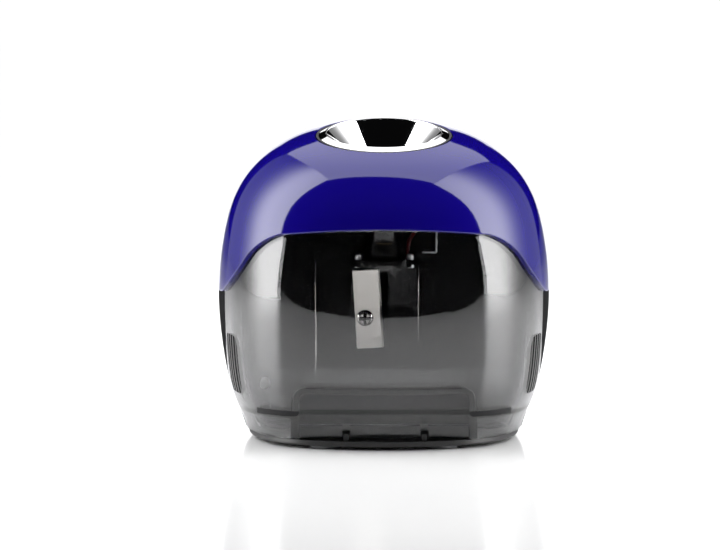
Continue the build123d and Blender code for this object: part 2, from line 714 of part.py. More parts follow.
CELLS = [
    (CELL_YS[0], CELL_ZS[0], 1), (CELL_YS[1], CELL_ZS[0], -1),
    (CELL_YS[0], CELL_ZS[1], -1), (CELL_YS[1], CELL_ZS[1], 1),
]


# ---------------------------------------------------------------- safety switch and wires
def safety_plunger():
    pin = rod(1.5, 8.6)
    pin = fillet(pin.edges().group_by(Axis.Z)[0], 0.9)
    return Pos(PLUNGER_X, -0.1, PLUNGER_Z) * Rot(-90, 0, 0) * pin


def safety_switch():
    low = PARTITION_Y + PARTITION_T
    case = block(PLUNGER_X - 3.2, PLUNGER_X + 3.2, low, 14.6, PLUNGER_Z - 5.0, PLUNGER_Z + 5.0)
    return case - block(PLUNGER_X - 2.0, PLUNGER_X + 2.0, low - 1, 10.0, PLUNGER_Z - 9.0, PLUNGER_Z + 9.0)


def contact_leaf():
    """Sprung contact strip under the deck, seen at the top of the chamber."""
    return block(11.2, 16.0, -2.4, -0.6, 54.4, 54.9) + block(15.5, 16.0, -2.4, -0.6, 54.4, DECK_Z)


def wire(points, radii):
    path = FilletPolyline(*points, radius=radii)
    profile = Plane(origin=path.position_at(0), z_dir=path.tangent_at(0)) * Circle(WIRE_R)
    return sweep(profile, path=path)


def red_wire():
    """From behind the chamber wall, up its front, under the deck and on to the start switch."""
    front = PARTITION_Y - 1.1
    x, y = WIRE_DECK
    route = [
        (WIRE_X, 10.8, WIRE_Z), (WIRE_X, front, WIRE_Z), (WIRE_X, front, 62.0),
        (x, y, 62.6), (x, y, 78.6), (19.2, -6.4, 78.8),
    ]
    return wire(route, [1.0, 8.0, 2.6, 3.0])


def black_wire():
    """From the motor's terminal over the battery box and down to the safety switch."""
    low_z = DECK_Z - MOTOR_LENGTH - 1.3
    route = [(-8.4, MOTOR_Y, low_z), (-33.0, 20.0, low_z)]
    route += [(-35.5, 13.2, 30.0), (-36.0, 12.6, PLUNGER_Z + 5.1)]
    return wire(route, [4.5, 6.0])


def wire_grommet():
    ring = tube(2.6, 1.0, 0.4)
    neck = Pos(0, 0, 0.4) * tube(1.75, 1.0, PARTITION_T)
    return Pos(WIRE_X, PARTITION_Y - 0.4, WIRE_Z) * Rot(-90, 0, 0) * (ring + neck)


# ---------------------------------------------------------------- export
NODES = {
    "upper_housing": upper_housing,
    "rear_housing": rear_housing,
    "battery_door": battery_door,
    "base_plate": base_plate,
    "rubber_feet": rubber_feet,
    "housing_screws": housing_screws,
    "shavings_bin": shavings_bin,
    "bin_grip_left": lambda: bin_grip(-1),
    "bin_grip_right": lambda: bin_grip(1),
    "chassis": chassis,
    "dome_screws": dome_screws,
    "cutter_holder": cutter_holder,
    "blade": blade,
    "blade_screw": blade_screw,
    "holder_pins": holder_pins,
    "cutter_gear": cutter_gear,
    "idler_gear": idler_gear,
    "motor_pinion": motor_pinion,
    "idler_axle": idler_axle,
    "retaining_ring": retaining_ring,
    "cutter_bush": cutter_bush,
    "gear_cover": gear_cover,
    "start_plunger": start_plunger,
    "start_switch": start_switch,
    "funnel_dish": funnel_dish,
    "dish_seat": dish_seat,
    "motor_can": motor_can,
    "motor_end_cap": motor_end_cap,
    "motor_terminals": motor_terminals,
    "motor_rotor": motor_rotor,
    "motor_screws": motor_screws,
    "battery_box": battery_box,
    "contact_plates": contact_plates,
    "battery_springs": battery_springs,
    "safety_plunger": safety_plunger,
    "safety_switch": safety_switch,
    "contact_leaf": contact_leaf,
    "red_wire": red_wire,
    "black_wire": black_wire,
    "wire_grommet": wire_grommet,
}
for number, cell in enumerate(CELLS, start=1):
    NODES[f"battery_cell_{number}"] = lambda cell=cell: battery_cell(*cell)

for name, make in NODES.items():
    save(make(), name)
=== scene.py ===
from math import atan2, cos, hypot, pi, radians, sin, sqrt

import bpy
import bmesh
import numpy as np
from mathutils import Matrix, Vector


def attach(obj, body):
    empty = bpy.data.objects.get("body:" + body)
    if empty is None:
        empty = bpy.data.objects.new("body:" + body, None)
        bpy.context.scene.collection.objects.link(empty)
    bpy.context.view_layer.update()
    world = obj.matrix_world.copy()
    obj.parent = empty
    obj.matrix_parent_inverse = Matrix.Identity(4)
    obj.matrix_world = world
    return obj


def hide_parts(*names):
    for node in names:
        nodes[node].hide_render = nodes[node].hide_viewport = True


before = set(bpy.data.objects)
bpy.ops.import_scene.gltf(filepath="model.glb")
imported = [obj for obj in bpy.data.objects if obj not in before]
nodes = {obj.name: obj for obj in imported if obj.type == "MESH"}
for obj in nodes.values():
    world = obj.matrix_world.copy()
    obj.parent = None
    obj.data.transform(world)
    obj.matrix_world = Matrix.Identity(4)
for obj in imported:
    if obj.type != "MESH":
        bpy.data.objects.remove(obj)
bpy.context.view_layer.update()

MM = 0.001

# ---------------------------------------------------------------- studio
# A white acrylic table that ends 0.3 m in front of the sharpener, with a dark room beyond it.
# Lit sheets of cloth: one over the back half, one sloping up at each side, a low one far behind.
VIEW_ELEVATION = radians(6.5)
VIEW_DISTANCE = 5.0
VIEW_WIDTH = 0.2137
SIDE_STEP = -0.0071
AIM_HEIGHT = 0.0477
TABLE_FRONT = -0.345
TABLE_REACH = 1.6
TABLE_BACK = 1.65

camera_data = bpy.data.cameras.new("camera")
camera_data.sensor_width = 36.0
camera_data.lens = camera_data.sensor_width * VIEW_DISTANCE / VIEW_WIDTH
camera_data.clip_start = 0.01
camera_data.dof.use_dof = False
camera = bpy.data.objects.new("camera", camera_data)
bpy.context.scene.collection.objects.link(camera)
back_off = Vector((0.0, -cos(VIEW_ELEVATION), sin(VIEW_ELEVATION)))
camera.location = Vector((SIDE_STEP, 0.0, AIM_HEIGHT)) + VIEW_DISTANCE * back_off
camera.rotation_euler = (pi / 2 - VIEW_ELEVATION, 0.0, 0.0)
bpy.context.scene.camera = camera
bpy.context.scene.view_settings.view_transform = "Standard"
bpy.context.scene.view_settings.look = "None"


class Value:
    """One socket of a material, so that shader maths reads as arithmetic."""

    def __init__(self, tree, socket):
        self.tree = tree
        self.socket = socket

    def math(self, operation, other, swapped=False):
        node = self.tree.nodes.new("ShaderNodeMath")
        node.operation = operation
        terms = (other, self) if swapped else (self, other)
        for slot, term in zip(node.inputs, terms):
            plug(self.tree, term, slot)
        return Value(self.tree, node.outputs[0])

    def __add__(self, other):
        return self.math("ADD", other)

    def __radd__(self, other):
        return self.math("ADD", other, True)

    def __sub__(self, other):
        return self.math("SUBTRACT", other)

    def __rsub__(self, other):
        return self.math("SUBTRACT", other, True)

    def __mul__(self, other):
        return self.math("MULTIPLY", other)

    def __rmul__(self, other):
        return self.math("MULTIPLY", other, True)

    def __truediv__(self, other):
        return self.math("DIVIDE", other)

    def __rtruediv__(self, other):
        return self.math("DIVIDE", other, True)

    def __pow__(self, other):
        return self.math("POWER", other)


def plug(tree, term, slot):
    """Link a Value to a socket, or set the socket to a number, colour or vector."""
    if isinstance(term, Value):
        tree.links.new(term.socket, slot)
    else:
        slot.default_value = term


class Finish:
    """A procedural material built round one Principled shader."""

    def __init__(self, name):
        self.material = bpy.data.materials.new(name)
        self.material.use_nodes = True
        self.tree = self.material.node_tree
        self.shader = self.tree.nodes["Principled BSDF"]
        self.place = self.node("ShaderNodeTexCoord", output="Object")

    def node(self, kind, settings=None, output=0, **sockets):
        """Add a node: its settings first, then the values or links of its sockets."""
        node = self.tree.nodes.new(kind)
        for key, value in (settings or {}).items():
            setattr(node, key, value)
        for key, term in sockets.items():
            plug(self.tree, term, node.inputs[key.replace("_", " ")])
        return Value(self.tree, node.outputs[output])

    def noise(self, scale, detail=2.0, vector=None, roughness=0.5):
        """Cloudy noise, scale in lumps per metre."""
        return self.node("ShaderNodeTexNoise", Vector=vector or self.place, Scale=scale, Detail=detail,
                         Roughness=roughness)

    def stretched(self, x, y, z):
        """The object's coordinates scaled along each axis."""
        return self.node("ShaderNodeMapping", Vector=self.place, Scale=(x, y, z))

    def tint(self, share, colour_a, colour_b):
        """A colour that goes from a to b with share."""
        mix = self.tree.nodes.new("ShaderNodeMix")
        mix.data_type = "RGBA"
        plug(self.tree, share, mix.inputs["Factor"])
        plug(self.tree, colour_a, mix.inputs["A"])
        plug(self.tree, colour_b, mix.inputs["B"])
        return Value(self.tree, mix.outputs["Result"])

    def bump(self, height, depth):
        """Surface relief, depth in metres."""
        return self.node("ShaderNodeBump", Height=height, Distance=depth, Strength=1.0)

    def set(self, **sockets):
        for key, term in sockets.items():
            plug(self.tree, term, self.shader.inputs[key.replace("_", " ")])

    def on(self, *objects):
        for item in objects:
            item.data.materials.clear()
            item.data.materials.append(self.material)


def rgb(red, green, blue):
    return (red, green, blue, 1.0)


def new_object(name, mesh):
    item = bpy.data.objects.new(name, mesh)
    bpy.context.scene.collection.objects.link(item)
    return item


def sheet_mesh(name, x0, x1, y0, y1):
    mesh = bpy.data.meshes.new(name)
    mesh.from_pydata([(x0, y0, 0), (x1, y0, 0), (x1, y1, 0), (x0, y1, 0)], [], [(0, 1, 2, 3)])
    return mesh


table = new_object("table", sheet_mesh("table", -TABLE_REACH, TABLE_REACH, TABLE_FRONT, TABLE_BACK))
acrylic = Finish("white_acrylic_table")
haze = acrylic.noise(9.0, 3.0)
acrylic.set(
    Base_Color=acrylic.tint(haze, rgb(0.86, 0.86, 0.87), rgb(0.88, 0.88, 0.88)),
    Roughness=0.10 + haze * 0.04,
    IOR=1.42,
)
acrylic.on(table)


def diffuser(name, corners, columns, rows, glow):
    """A sheet of lit diffusing cloth between four corners; glow(u, v) is its brightness."""
    points = []
    faces = []
    near_left, near_right, far_right, far_left = (Vector(corner) for corner in corners)
    for r in range(rows + 1):
        for c in range(columns + 1):
            u, v = c / columns, r / rows
            near = near_left.lerp(near_right, u)
            far = far_left.lerp(far_right, u)
            points.append(near.lerp(far, v))
    for r in range(rows):
        for c in range(columns):
            k = r * (columns + 1) + c
            faces.append((k, k + 1, k + columns + 2, k + columns + 1))
    mesh = bpy.data.meshes.new(name)
    mesh.from_pydata(points, [], faces)
    light = mesh.color_attributes.new("glow", "FLOAT_COLOR", "POINT")
    for k, item in enumerate(light.data):
        level = glow((k % (columns + 1)) / columns, (k // (columns + 1)) / rows)
        item.color = (level, level, level, 1.0)
    sheet = new_object(name, mesh)
    sheet.visible_camera = False
    cloth = bpy.data.materials.new(name)
    cloth.use_nodes = True
    cloth.node_tree.nodes.clear()
    output = cloth.node_tree.nodes.new("ShaderNodeOutputMaterial")
    lamp = cloth.node_tree.nodes.new("ShaderNodeEmission")
    level = cloth.node_tree.nodes.new("ShaderNodeAttribute")
    level.attribute_name = "glow"
    cloth.node_tree.links.new(level.outputs["Color"], lamp.inputs["Color"])
    cloth.node_tree.links.new(lamp.outputs[0], output.inputs["Surface"])
    sheet.data.materials.append(cloth)


TOP_HEIGHT = 0.5
TOP_GLOW_NEAR = 2.7
TOP_GLOW_FAR = 1.3
LAMP_SPILL = 0.32
LAMP_GLOW = 8.2
LAMP_REACH = 0.27
BACK_GLOW = 1.5
BACK_HALF = 0.32
BACK_HEIGHT = 0.40


def top_glow(back):
    """Brightness of the top diffuser, fading towards its far edge."""
    return TOP_GLOW_NEAR + (TOP_GLOW_FAR - TOP_GLOW_NEAR) * back**0.6


def lamp_glow(back, up):
    """Brightness of a side diffuser: its lamp stands at the front and the light dies away."""
    return (LAMP_SPILL + LAMP_GLOW / (1.0 + (back / LAMP_REACH) ** 5)) * (1.0 - 0.48 * up**2)


diffuser(
    "top_diffuser",
    [(-0.177, 0.035, TOP_HEIGHT), (0.165, -0.005, TOP_HEIGHT),
     (0.37, 0.66, TOP_HEIGHT), (-0.29, 0.68, TOP_HEIGHT)],
    8, 12, lambda u, v: top_glow(v),
)
diffuser(
    "left_diffuser",
    [(-0.565, -0.23, 0.0), (-0.177, 0.043, TOP_HEIGHT), (-0.287, 0.677, TOP_HEIGHT), (-0.62, 1.0, 0.0)],
    8, 24, lambda u, v: lamp_glow(v, u),
)
diffuser(
    "right_diffuser",
    [(0.165, -0.012, TOP_HEIGHT), (0.62, -0.30, 0.0), (0.62, 1.0, 0.0), (0.35, 0.60, TOP_HEIGHT)],
    8, 24, lambda u, v: lamp_glow(v, 1.0 - u),
)
BACK_Y = TABLE_BACK - 0.02
diffuser(
    "back_strip",
    [(-BACK_HALF, BACK_Y, 0.0), (BACK_HALF, BACK_Y, 0.0),
     (BACK_HALF, BACK_Y, BACK_HEIGHT), (-BACK_HALF, BACK_Y, BACK_HEIGHT)],
    4, 4, lambda u, v: BACK_GLOW,
)
fill_data = bpy.data.lights.new("overhead_fill", "AREA")
fill_data.shape = "RECTANGLE"
fill_data.size = 1.8
fill_data.size_y = 1.6
fill_data.energy = 24.0
fill = bpy.data.objects.new("overhead_fill", fill_data)
bpy.context.scene.collection.objects.link(fill)
fill.location = (0.0, -0.15, 1.2)
fill.visible_camera = False
fill.visible_glossy = False

world = bpy.data.worlds.new("studio_room")
world.use_nodes = True
bpy.context.scene.world = world
room = world.node_tree
room_dark = room.nodes["Background"]
room_dark.inputs["Color"].default_value = rgb(0.20, 0.20, 0.21)
room_dark.inputs["Strength"].default_value = 0.012
room_white = room.nodes.new("ShaderNodeBackground")
room_white.inputs["Color"].default_value = rgb(1.0, 1.0, 1.0)
room_choice = room.nodes.new("ShaderNodeMixShader")
room_rays = room.nodes.new("ShaderNodeLightPath")
room.links.new(room_rays.outputs["Is Camera Ray"], room_choice.inputs[0])
room.links.new(room_dark.outputs[0], room_choice.inputs[1])
room.links.new(room_white.outputs[0], room_choice.inputs[2])
room.links.new(room_choice.outputs[0], room.nodes["World Output"].inputs["Surface"])

# ---------------------------------------------------------------- base plate, feet and screws
# A thin black moulding that closes the body from below, with two guide tabs for the bin.
# Four soft rubber discs sit in pockets; screws hold it, the dome and the motor.


def black_moulding(name, grain_lumps, grain_depth, shine, tone=0.009, sheen=0.5):
    """Black ABS with a fine spark-eroded grain and faint handling marks.

    tone is how dark the plastic is, shine its roughness, sheen the strength of its gloss; low tone and
    sheen paint shade.
    """
    finish = Finish(name)
    grain = finish.noise(grain_lumps, 2.0)
    smears = finish.noise(60.0, 3.0)
    finish.set(
        Base_Color=finish.tint(smears, rgb(tone, tone, tone), rgb(1.8 * tone, 1.8 * tone, 1.9 * tone)),
        Roughness=shine + 0.10 * smears,
        Specular_IOR_Level=sheen,
        Normal=finish.bump(grain, grain_depth),
        IOR=1.5,
    )
    return finish


black_outer = black_moulding("black_plastic_outer", 2600.0, 0.00004, 0.34)
black_outer.on(nodes["base_plate"])

foot_rubber = Finish("grey_foot_rubber")
rubber_dust = foot_rubber.noise(900.0, 4.0)
foot_rubber.set(
    Base_Color=foot_rubber.tint(rubber_dust, rgb(0.10, 0.10, 0.105), rgb(0.17, 0.17, 0.175)),
    Roughness=0.55 + 0.2 * rubber_dust,
    Normal=foot_rubber.bump(rubber_dust, 0.00006),
)
foot_rubber.on(nodes["rubber_feet"])

zinc = Finish("zinc_screw")
zinc_cloud = zinc.noise(1400.0, 3.0)
zinc.set(
    Base_Color=zinc.tint(zinc_cloud, rgb(0.50, 0.50, 0.51), rgb(0.66, 0.66, 0.66)),
    Metallic=1.0,
    Roughness=0.22 + 0.16 * zinc_cloud,
)
zinc.on(nodes["housing_screws"], nodes["dome_screws"], nodes["motor_screws"])
bright_steel = Finish("bright_steel_pins")
pin_cloud = bright_steel.noise(1400.0, 3.0)
bright_steel.set(
    Base_Color=bright_steel.tint(pin_cloud, rgb(0.84, 0.84, 0.83), rgb(0.97, 0.97, 0.96)),
    Metallic=1.0,
    Roughness=0.30 + 0.10 * pin_cloud,
)
bright_steel.on(nodes["holder_pins"])

# ---------------------------------------------------------------- chassis
# Black moulded wall behind the cutter and the gear deck on top of it, one piece, with thin
# upright ribs. It holds the bush, the motor, the switches and the wire's grommet.
# Same moulding as the outer black, but three times darker and with weaker gloss: painted shade for the
# inside of the body.
shaded_black_inner = black_moulding("black_plastic_inner_painted_shade", 3200.0, 0.000004, 0.16, tone=0.003, sheen=0.24)
shaded_black_inner.on(nodes["chassis"], nodes["gear_cover"], nodes["battery_box"])
shaded_black_inner.on(nodes["motor_end_cap"], nodes["start_switch"], nodes["safety_switch"])

# ---------------------------------------------------------------- motor and gears
# Nickel-plated motor can with brass terminals and pinion. The large gears are moulded in white
# acetal, on a nickel-plated axle and a brass bush. The two switch plungers are acetal too.
nickel = Finish("nickel_plate")
nickel_cloud = nickel.noise(500.0, 4.0)
nickel.set(
    Base_Color=nickel.tint(nickel_cloud, rgb(0.60, 0.59, 0.56), rgb(0.72, 0.71, 0.68)),
    Metallic=1.0,
    Roughness=0.20 + 0.12 * nickel_cloud,
)
nickel.on(nodes["motor_can"], nodes["motor_rotor"], nodes["contact_plates"], nodes["battery_springs"])
nickel.on(nodes["idler_axle"], nodes["retaining_ring"])

brass = Finish("turned_brass")
brass_lines = brass.noise(60.0, 3.0, vector=brass.stretched(1.0, 1.0, 60.0))
brass.set(
    Base_Color=brass.tint(brass_lines, rgb(0.66, 0.47, 0.19), rgb(0.82, 0.64, 0.32)),
    Metallic=1.0,
    Roughness=0.20 + 0.14 * brass_lines,
)
brass.on(nodes["cutter_bush"], nodes["motor_pinion"], nodes["motor_terminals"])

acetal = Finish("white_acetal")
acetal_cloud = acetal.noise(300.0, 3.0)
acetal.set(
    Base_Color=acetal.tint(acetal_cloud, rgb(0.76, 0.75, 0.70), rgb(0.84, 0.83, 0.79)),
    Roughness=0.30 + 0.12 * acetal_cloud,
    Normal=acetal.bump(acetal.noise(2400.0), 0.00002),
)
acetal.on(nodes["cutter_gear"], nodes["idler_gear"], nodes["start_plunger"], nodes["safety_plunger"])

# ---------------------------------------------------------------- cells and wires
# Four AA cells in plain film, in the battery box. One wire in dark red pvc, one in black
# rubber; the red one goes through a rubber grommet in the chamber wall.
cell_film = Finish("cell_film")
cell_cloud = cell_film.noise(200.0, 2.0)
cell_film.set(
    Base_Color=cell_film.tint(cell_cloud, rgb(0.05, 0.05, 0.055), rgb(0.08, 0.08, 0.085)),
    Roughness=0.24 + 0.08 * cell_cloud,
)
for number in range(1, 5):
    cell_film.on(nodes[f"battery_cell_{number}"])

red_pvc = Finish("dark_red_pvc")
red_cloud = red_pvc.noise(700.0, 2.0)
red_pvc.set(
    Base_Color=red_pvc.tint(red_cloud, rgb(0.16, 0.006, 0.009), rgb(0.24, 0.010, 0.013)),
    Roughness=0.32 + 0.1 * red_cloud,
)
red_pvc.on(nodes["red_wire"])

black_rubber = Finish("black_rubber")
rubber_cloud = black_rubber.noise(1500.0, 3.0)
black_rubber.set(
    Base_Color=black_rubber.tint(rubber_cloud, rgb(0.008, 0.008, 0.009), rgb(0.018, 0.018, 0.019)),
    Roughness=0.45 + 0.2 * rubber_cloud,
    Normal=black_rubber.bump(rubber_cloud, 0.00004),
)
black_rubber.on(nodes["black_wire"], nodes["wire_grommet"])

# ---------------------------------------------------------------- cutter
# Black glass-filled holder with a ground steel blade screwed on its flat; it hangs from the
# deck and spins. The blade is surface ground across its length.
shaded_black_inner.on(nodes["cutter_holder"])

blade_steel = Finish("ground_blade_steel")
grind = blade_steel.noise(40.0, 4.0, vector=blade_steel.stretched(2.0, 2.0, 120.0))
stain = blade_steel.noise(110.0, 4.0)
blade_steel.set(
    Base_Color=blade_steel.tint(0.45 * grind + 0.55 * stain, rgb(0.66, 0.62, 0.55), rgb(1.0, 0.98, 0.93)),
    Metallic=1.0,
    Roughness=0.20 + 0.22 * grind + 0.08 * stain,
    Normal=blade_steel.bump(grind, 0.00003),
)
blade_steel.on(nodes["blade"])

# ---------------------------------------------------------------- blade screw
# Pan-head screw with a cross recess, nickel plated, that clamps the blade to the holder. Shade is painted
# near black into the cross recess and on a band round the head's outer edge.
SCREW_CENTRE = Vector((-5.6, -8.46, 36.0))
SCREW_TILT = radians(90 + 9.4)
HEAD_R = 2.5
HEAD_RISE = 1.35
HEAD_RIM = 0.15
CROWN_FLAT = 0.98
RECESS_DEPTH = 1.05
RECESS_HALF = (0.36, 0.52)
RECESS_END = (1.60, 1.85)
# The band of radii on the head's outer edge that is painted dark as shade.
SHADED_RIM = (0.86 * HEAD_R, 0.96 * HEAD_R)
HEAD_RINGS = 36
HEAD_TURNS = 96


def smooth(low, high, value):
    share = min(1.0, max(0.0, (value - low) / (high - low)))
    return share * share * (3 - 2 * share)


def cross_recess(x, y):
    """1 inside the cross recess, 0 on the crown."""
    slot = max(1.0 - smooth(*RECESS_HALF, abs(x)), 1.0 - smooth(*RECESS_HALF, abs(y)))
    return slot * (1.0 - smooth(*RECESS_END, hypot(x, y)))


def head_height(x, y):
    """Height of the screw head's crown, with its cross recess."""
    r = hypot(x, y)
    crown = HEAD_RISE * (1.0 - (r / HEAD_R) ** 2) ** 0.5 if r < HEAD_R else 0.0
    return HEAD_RIM + min(crown, CROWN_FLAT + 0.1 * crown) - RECESS_DEPTH * cross_recess(x, y)


screw_mesh = bpy.data.meshes.new("blade_pan_screw")
screw_points = [(0.0, 0.0, head_height(0.0, 0.0))]
screw_faces = []
for ring in range(1, HEAD_RINGS + 1):
    r = HEAD_R * ring / HEAD_RINGS
    for turn in range(HEAD_TURNS):
        x, y = r * cos(2 * pi * turn / HEAD_TURNS), r * sin(2 * pi * turn / HEAD_TURNS)
        screw_points.append((x, y, head_height(x, y)))
for turn in range(HEAD_TURNS):
    angle = 2 * pi * turn / HEAD_TURNS
    screw_points.append((HEAD_R * cos(angle), HEAD_R * sin(angle), 0.0))
for ring in range(HEAD_RINGS + 1):
    for turn in range(HEAD_TURNS):
        after = (turn + 1) % HEAD_TURNS
        low = 1 + (ring - 1) * HEAD_TURNS
        if ring == 0:
            screw_faces.append((0, 1 + turn, 1 + after))
        else:
            high = low + HEAD_TURNS
            screw_faces.append((low + turn, high + turn, high + after, low + after))
screw_faces.append(tuple(reversed(range(1 + HEAD_RINGS * HEAD_TURNS, 1 + (HEAD_RINGS + 1) * HEAD_TURNS))))
screw_mesh.from_pydata([Vector(point) * MM for point in screw_points], [], screw_faces)
# A mask of painted shade: 1 in the cross recess and on the outer band, 0 on the crown.
painted_shade = screw_mesh.attributes.new("painted_shade", "FLOAT", "POINT")
for spot, (x, y, z) in zip(painted_shade.data, screw_points):
    spot.value = max(cross_recess(x, y), smooth(*SHADED_RIM, hypot(x, y)))
screw_mesh.transform(Matrix.Translation(SCREW_CENTRE * MM) @ Matrix.Rotation(SCREW_TILT, 4, "X"))
screw_mesh.polygons.foreach_set("use_smooth", [len(face) < 5 for face in screw_faces])
pan_screw = new_object("blade_pan_screw", screw_mesh)
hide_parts("blade_screw")
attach(pan_screw, "cutter")
polished = Finish("polished_nickel_screw")
polish_cloud = polished.noise(900.0, 3.0)
shade_share = polished.node("ShaderNodeAttribute", {"attribute_name": "painted_shade"}, output=2)
unshaded_nickel = polished.tint(polish_cloud, rgb(0.58, 0.56, 0.53), rgb(0.78, 0.76, 0.73))
polished.set(
    # Where the mask is 1 the base colour goes near black: painted shade in the recess and on the edge.
    Base_Color=polished.tint(shade_share, unshaded_nickel, rgb(0.012, 0.012, 0.013)),
    Metallic=1.0,
    Roughness=0.10 + 0.10 * polish_cloud,
)
polished.on(pan_screw)

# ---------------------------------------------------------------- rear housing and battery door
# Black textured half shell behind the bin, on the base plate. The door closes the battery box
# at the back and pulls straight off.
black_outer.on(nodes["rear_housing"], nodes["battery_door"])

# ---------------------------------------------------------------- shavings bin
# Clear smoke-grey styrene, injection moulded in one piece: wrap-around visor, floor raised over
# the finger recess, pockets for the side grips, tab under the dome's edge.
smoke = Finish("smoke_clear_plastic")
ripple = smoke.noise(38.0, 1.0)
smears = smoke.noise(90.0, 3.0)
slant = smoke.node("ShaderNodeLayerWeight", output=1, Blend=0.5)
face_on = smoke.tint(smears, rgb(0.71, 0.71, 0.72), rgb(0.75, 0.75, 0.76))
smoke.set(
    Base_Color=smoke.tint(slant**1.25, face_on, rgb(0.09, 0.09, 0.10)),
    Roughness=0.012 + 0.02 * smears,
    Transmission_Weight=1.0,
    IOR=1.55,
    Normal=smoke.bump(ripple, 0.00006),
)
smoke.on(nodes["shavings_bin"])

# ---------------------------------------------------------------- side grips
# Soft black rubber pads with upright ridges, one on each side of the bin, pressed into the
# bin's shallow pockets.
grip_rubber = Finish("side_grip_rubber")
grip_cloud = grip_rubber.noise(900.0, 3.0)
grip_rubber.set(
    Base_Color=grip_rubber.tint(grip_cloud, rgb(0.002, 0.002, 0.002), rgb(0.005, 0.005, 0.005)),
    Roughness=0.16 + 0.16 * grip_cloud,
    Specular_IOR_Level=0.22,
    Normal=grip_rubber.bump(grip_cloud, 0.00003),
)
grip_rubber.on(nodes["bin_grip_left"], nodes["bin_grip_right"])

# ---------------------------------------------------------------- dome
# Deep blue high-gloss shell over everything: rounded-square in plan, leaning a little forward,
# open at the top for the dish and cut away in an arch over the visor.
STATIONS = [  # (height, half width) in millimetres, from the base line to the dish rim
    (1.1, 40.45), (11.0, 44.1), (21.0, 46.8), (31.0, 48.3), (41.0, 49.0), (52.0, 48.6),
    (62.0, 47.1), (70.0, 44.9), (77.5, 40.9), (83.3, 35.3), (87.4, 28.8), (90.2, 20.4),
]
SQUARENESS = 0.39
LEAN_START = 50.0
RIM_HEIGHT = 90.2
RIM_SHIFT = -7.0
RIM_LEAN = radians(8.5)
DOME_WALL = 2.2
PARTING = 43.3
ARCH_TOP = 66.4
ARCH_SHOULDER = (31.0, 64.1)
ARCH_BEND = (36.8, 60.9)
ARCH_FLANK = (41.0, 56.3)
ARCH_FOOT = (47.6, 45.2)
ARCH_TOE = (50.6, 43.3)


def natural_spline(knots, values):
    """Second derivatives of the smooth curve through values at knots."""
    gaps = np.diff(knots)
    count = len(knots)
    system = np.eye(count)
    right = np.zeros(count)
    for i in range(1, count - 1):
        system[i, i - 1: i + 2] = (gaps[i - 1], 2 * (gaps[i - 1] + gaps[i]), gaps[i])
        right[i] = 6 * ((values[i + 1] - values[i]) / gaps[i] - (values[i] - values[i - 1]) / gaps[i - 1])
    return np.linalg.solve(system, right)


station_array = np.array(STATIONS)
station_steps = np.hypot(*np.diff(station_array, axis=0).T)
station_knots = np.concatenate([[0.0], np.cumsum(station_steps)])
station_bends = [natural_spline(station_knots, station_array[:, k]) for k in (0, 1)]


def outline_at(reach):
    """Height and half width of the body a given way along its outline."""
    i = int(np.clip(np.searchsorted(station_knots, reach) - 1, 0, len(station_knots) - 2))
    gap = station_knots[i + 1] - station_knots[i]
    a = (station_knots[i + 1] - reach) / gap
    b = 1.0 - a
    point = []
    for k in (0, 1):
        low, high = station_array[i, k], station_array[i + 1, k]
        bends = station_bends[k]
        sag = ((a**3 - a) * bends[i] + (b**3 - b) * bends[i + 1]) * gap * gap / 6
        point.append(a * low + b * high + sag)
    return point


def plan_radius(angle, half_width, offset):
    """Radius of the rounded-square plan in one direction, from its side and corner arcs."""
    angle = abs((angle + pi / 4) % (pi / 2) - pi / 4)
    joint = radians(22.5)
    far = -offset + (half_width + offset) * cos(joint)
    near = (half_width + offset) * sin(joint)
    if angle < atan2(near, far):
        return -offset * cos(angle) + sqrt((half_width + offset) ** 2 - (offset * sin(angle)) ** 2)
    centre = offset * sin(joint) / (cos(joint) - sin(joint))
    corner_r = half_width + offset - (offset + centre) / cos(joint)
    along = centre * (cos(angle) + sin(angle))
    across = centre * (sin(angle) - cos(angle))
    return along + sqrt(corner_r**2 - across**2)


def body_point(angle, reach, inset=0.0):
    """A point of the body's surface; angle 0 is the front, inset moves it along the section."""
    height, half_width = outline_at(reach)
    share = max(0.0, (height - LEAN_START) / (RIM_HEIGHT - LEAN_START))
    half_width -= inset
    radius = plan_radius(angle, half_width, SQUARENESS * (1.0 - share) * half_width)
    lean = RIM_LEAN * share
    across, along = radius * sin(angle), -radius * cos(angle)
    return Vector((across, RIM_SHIFT * share + along * cos(lean), height + along * sin(lean)))


def arc_height(x, first, middle, last):
    """Height at x on the upper side of the arc through three points."""
    (ax, ay), (bx, by), (cx, cy) = first, middle, last
    turn = 2 * (ax * (by - cy) + bx * (cy - ay) + cx * (ay - by))
    sa, sb, sc = ax * ax + ay * ay, bx * bx + by * by, cx * cx + cy * cy
    ux = (sa * (by - cy) + sb * (cy - ay) + sc * (ay - by)) / turn
    uy = (sa * (cx - bx) + sb * (ax - cx) + sc * (bx - ax)) / turn
    side = 1.0 if by > uy else -1.0
    return uy + side * sqrt(max(0.0, (ax - ux) ** 2 + (ay - uy) ** 2 - (x - ux) ** 2))


ARCH_KNEE = ((ARCH_FOOT[0] + ARCH_TOE[0]) / 2 - 0.45, (ARCH_FOOT[1] + ARCH_TOE[1]) / 2 - 0.5)


def arch_height(x):
    """Height of the dome's lower edge in the front view."""
    x = abs(x)
    if x < ARCH_SHOULDER[0]:
        left = (-ARCH_SHOULDER[0], ARCH_SHOULDER[1])
        return arc_height(x, left, (0.0, ARCH_TOP), ARCH_SHOULDER)
    if x < ARCH_FLANK[0]:
        return arc_height(x, ARCH_SHOULDER, ARCH_BEND, ARCH_FLANK)
    if x < ARCH_FOOT[0]:
        share = (x - ARCH_FLANK[0]) / (ARCH_FOOT[0] - ARCH_FLANK[0])
        return ARCH_FLANK[1] + share * (ARCH_FOOT[1] - ARCH_FLANK[1])
    if x < ARCH_TOE[0]:
        return max(PARTING, arc_height(x, ARCH_FOOT, ARCH_KNEE, ARCH_TOE))
    return PARTING


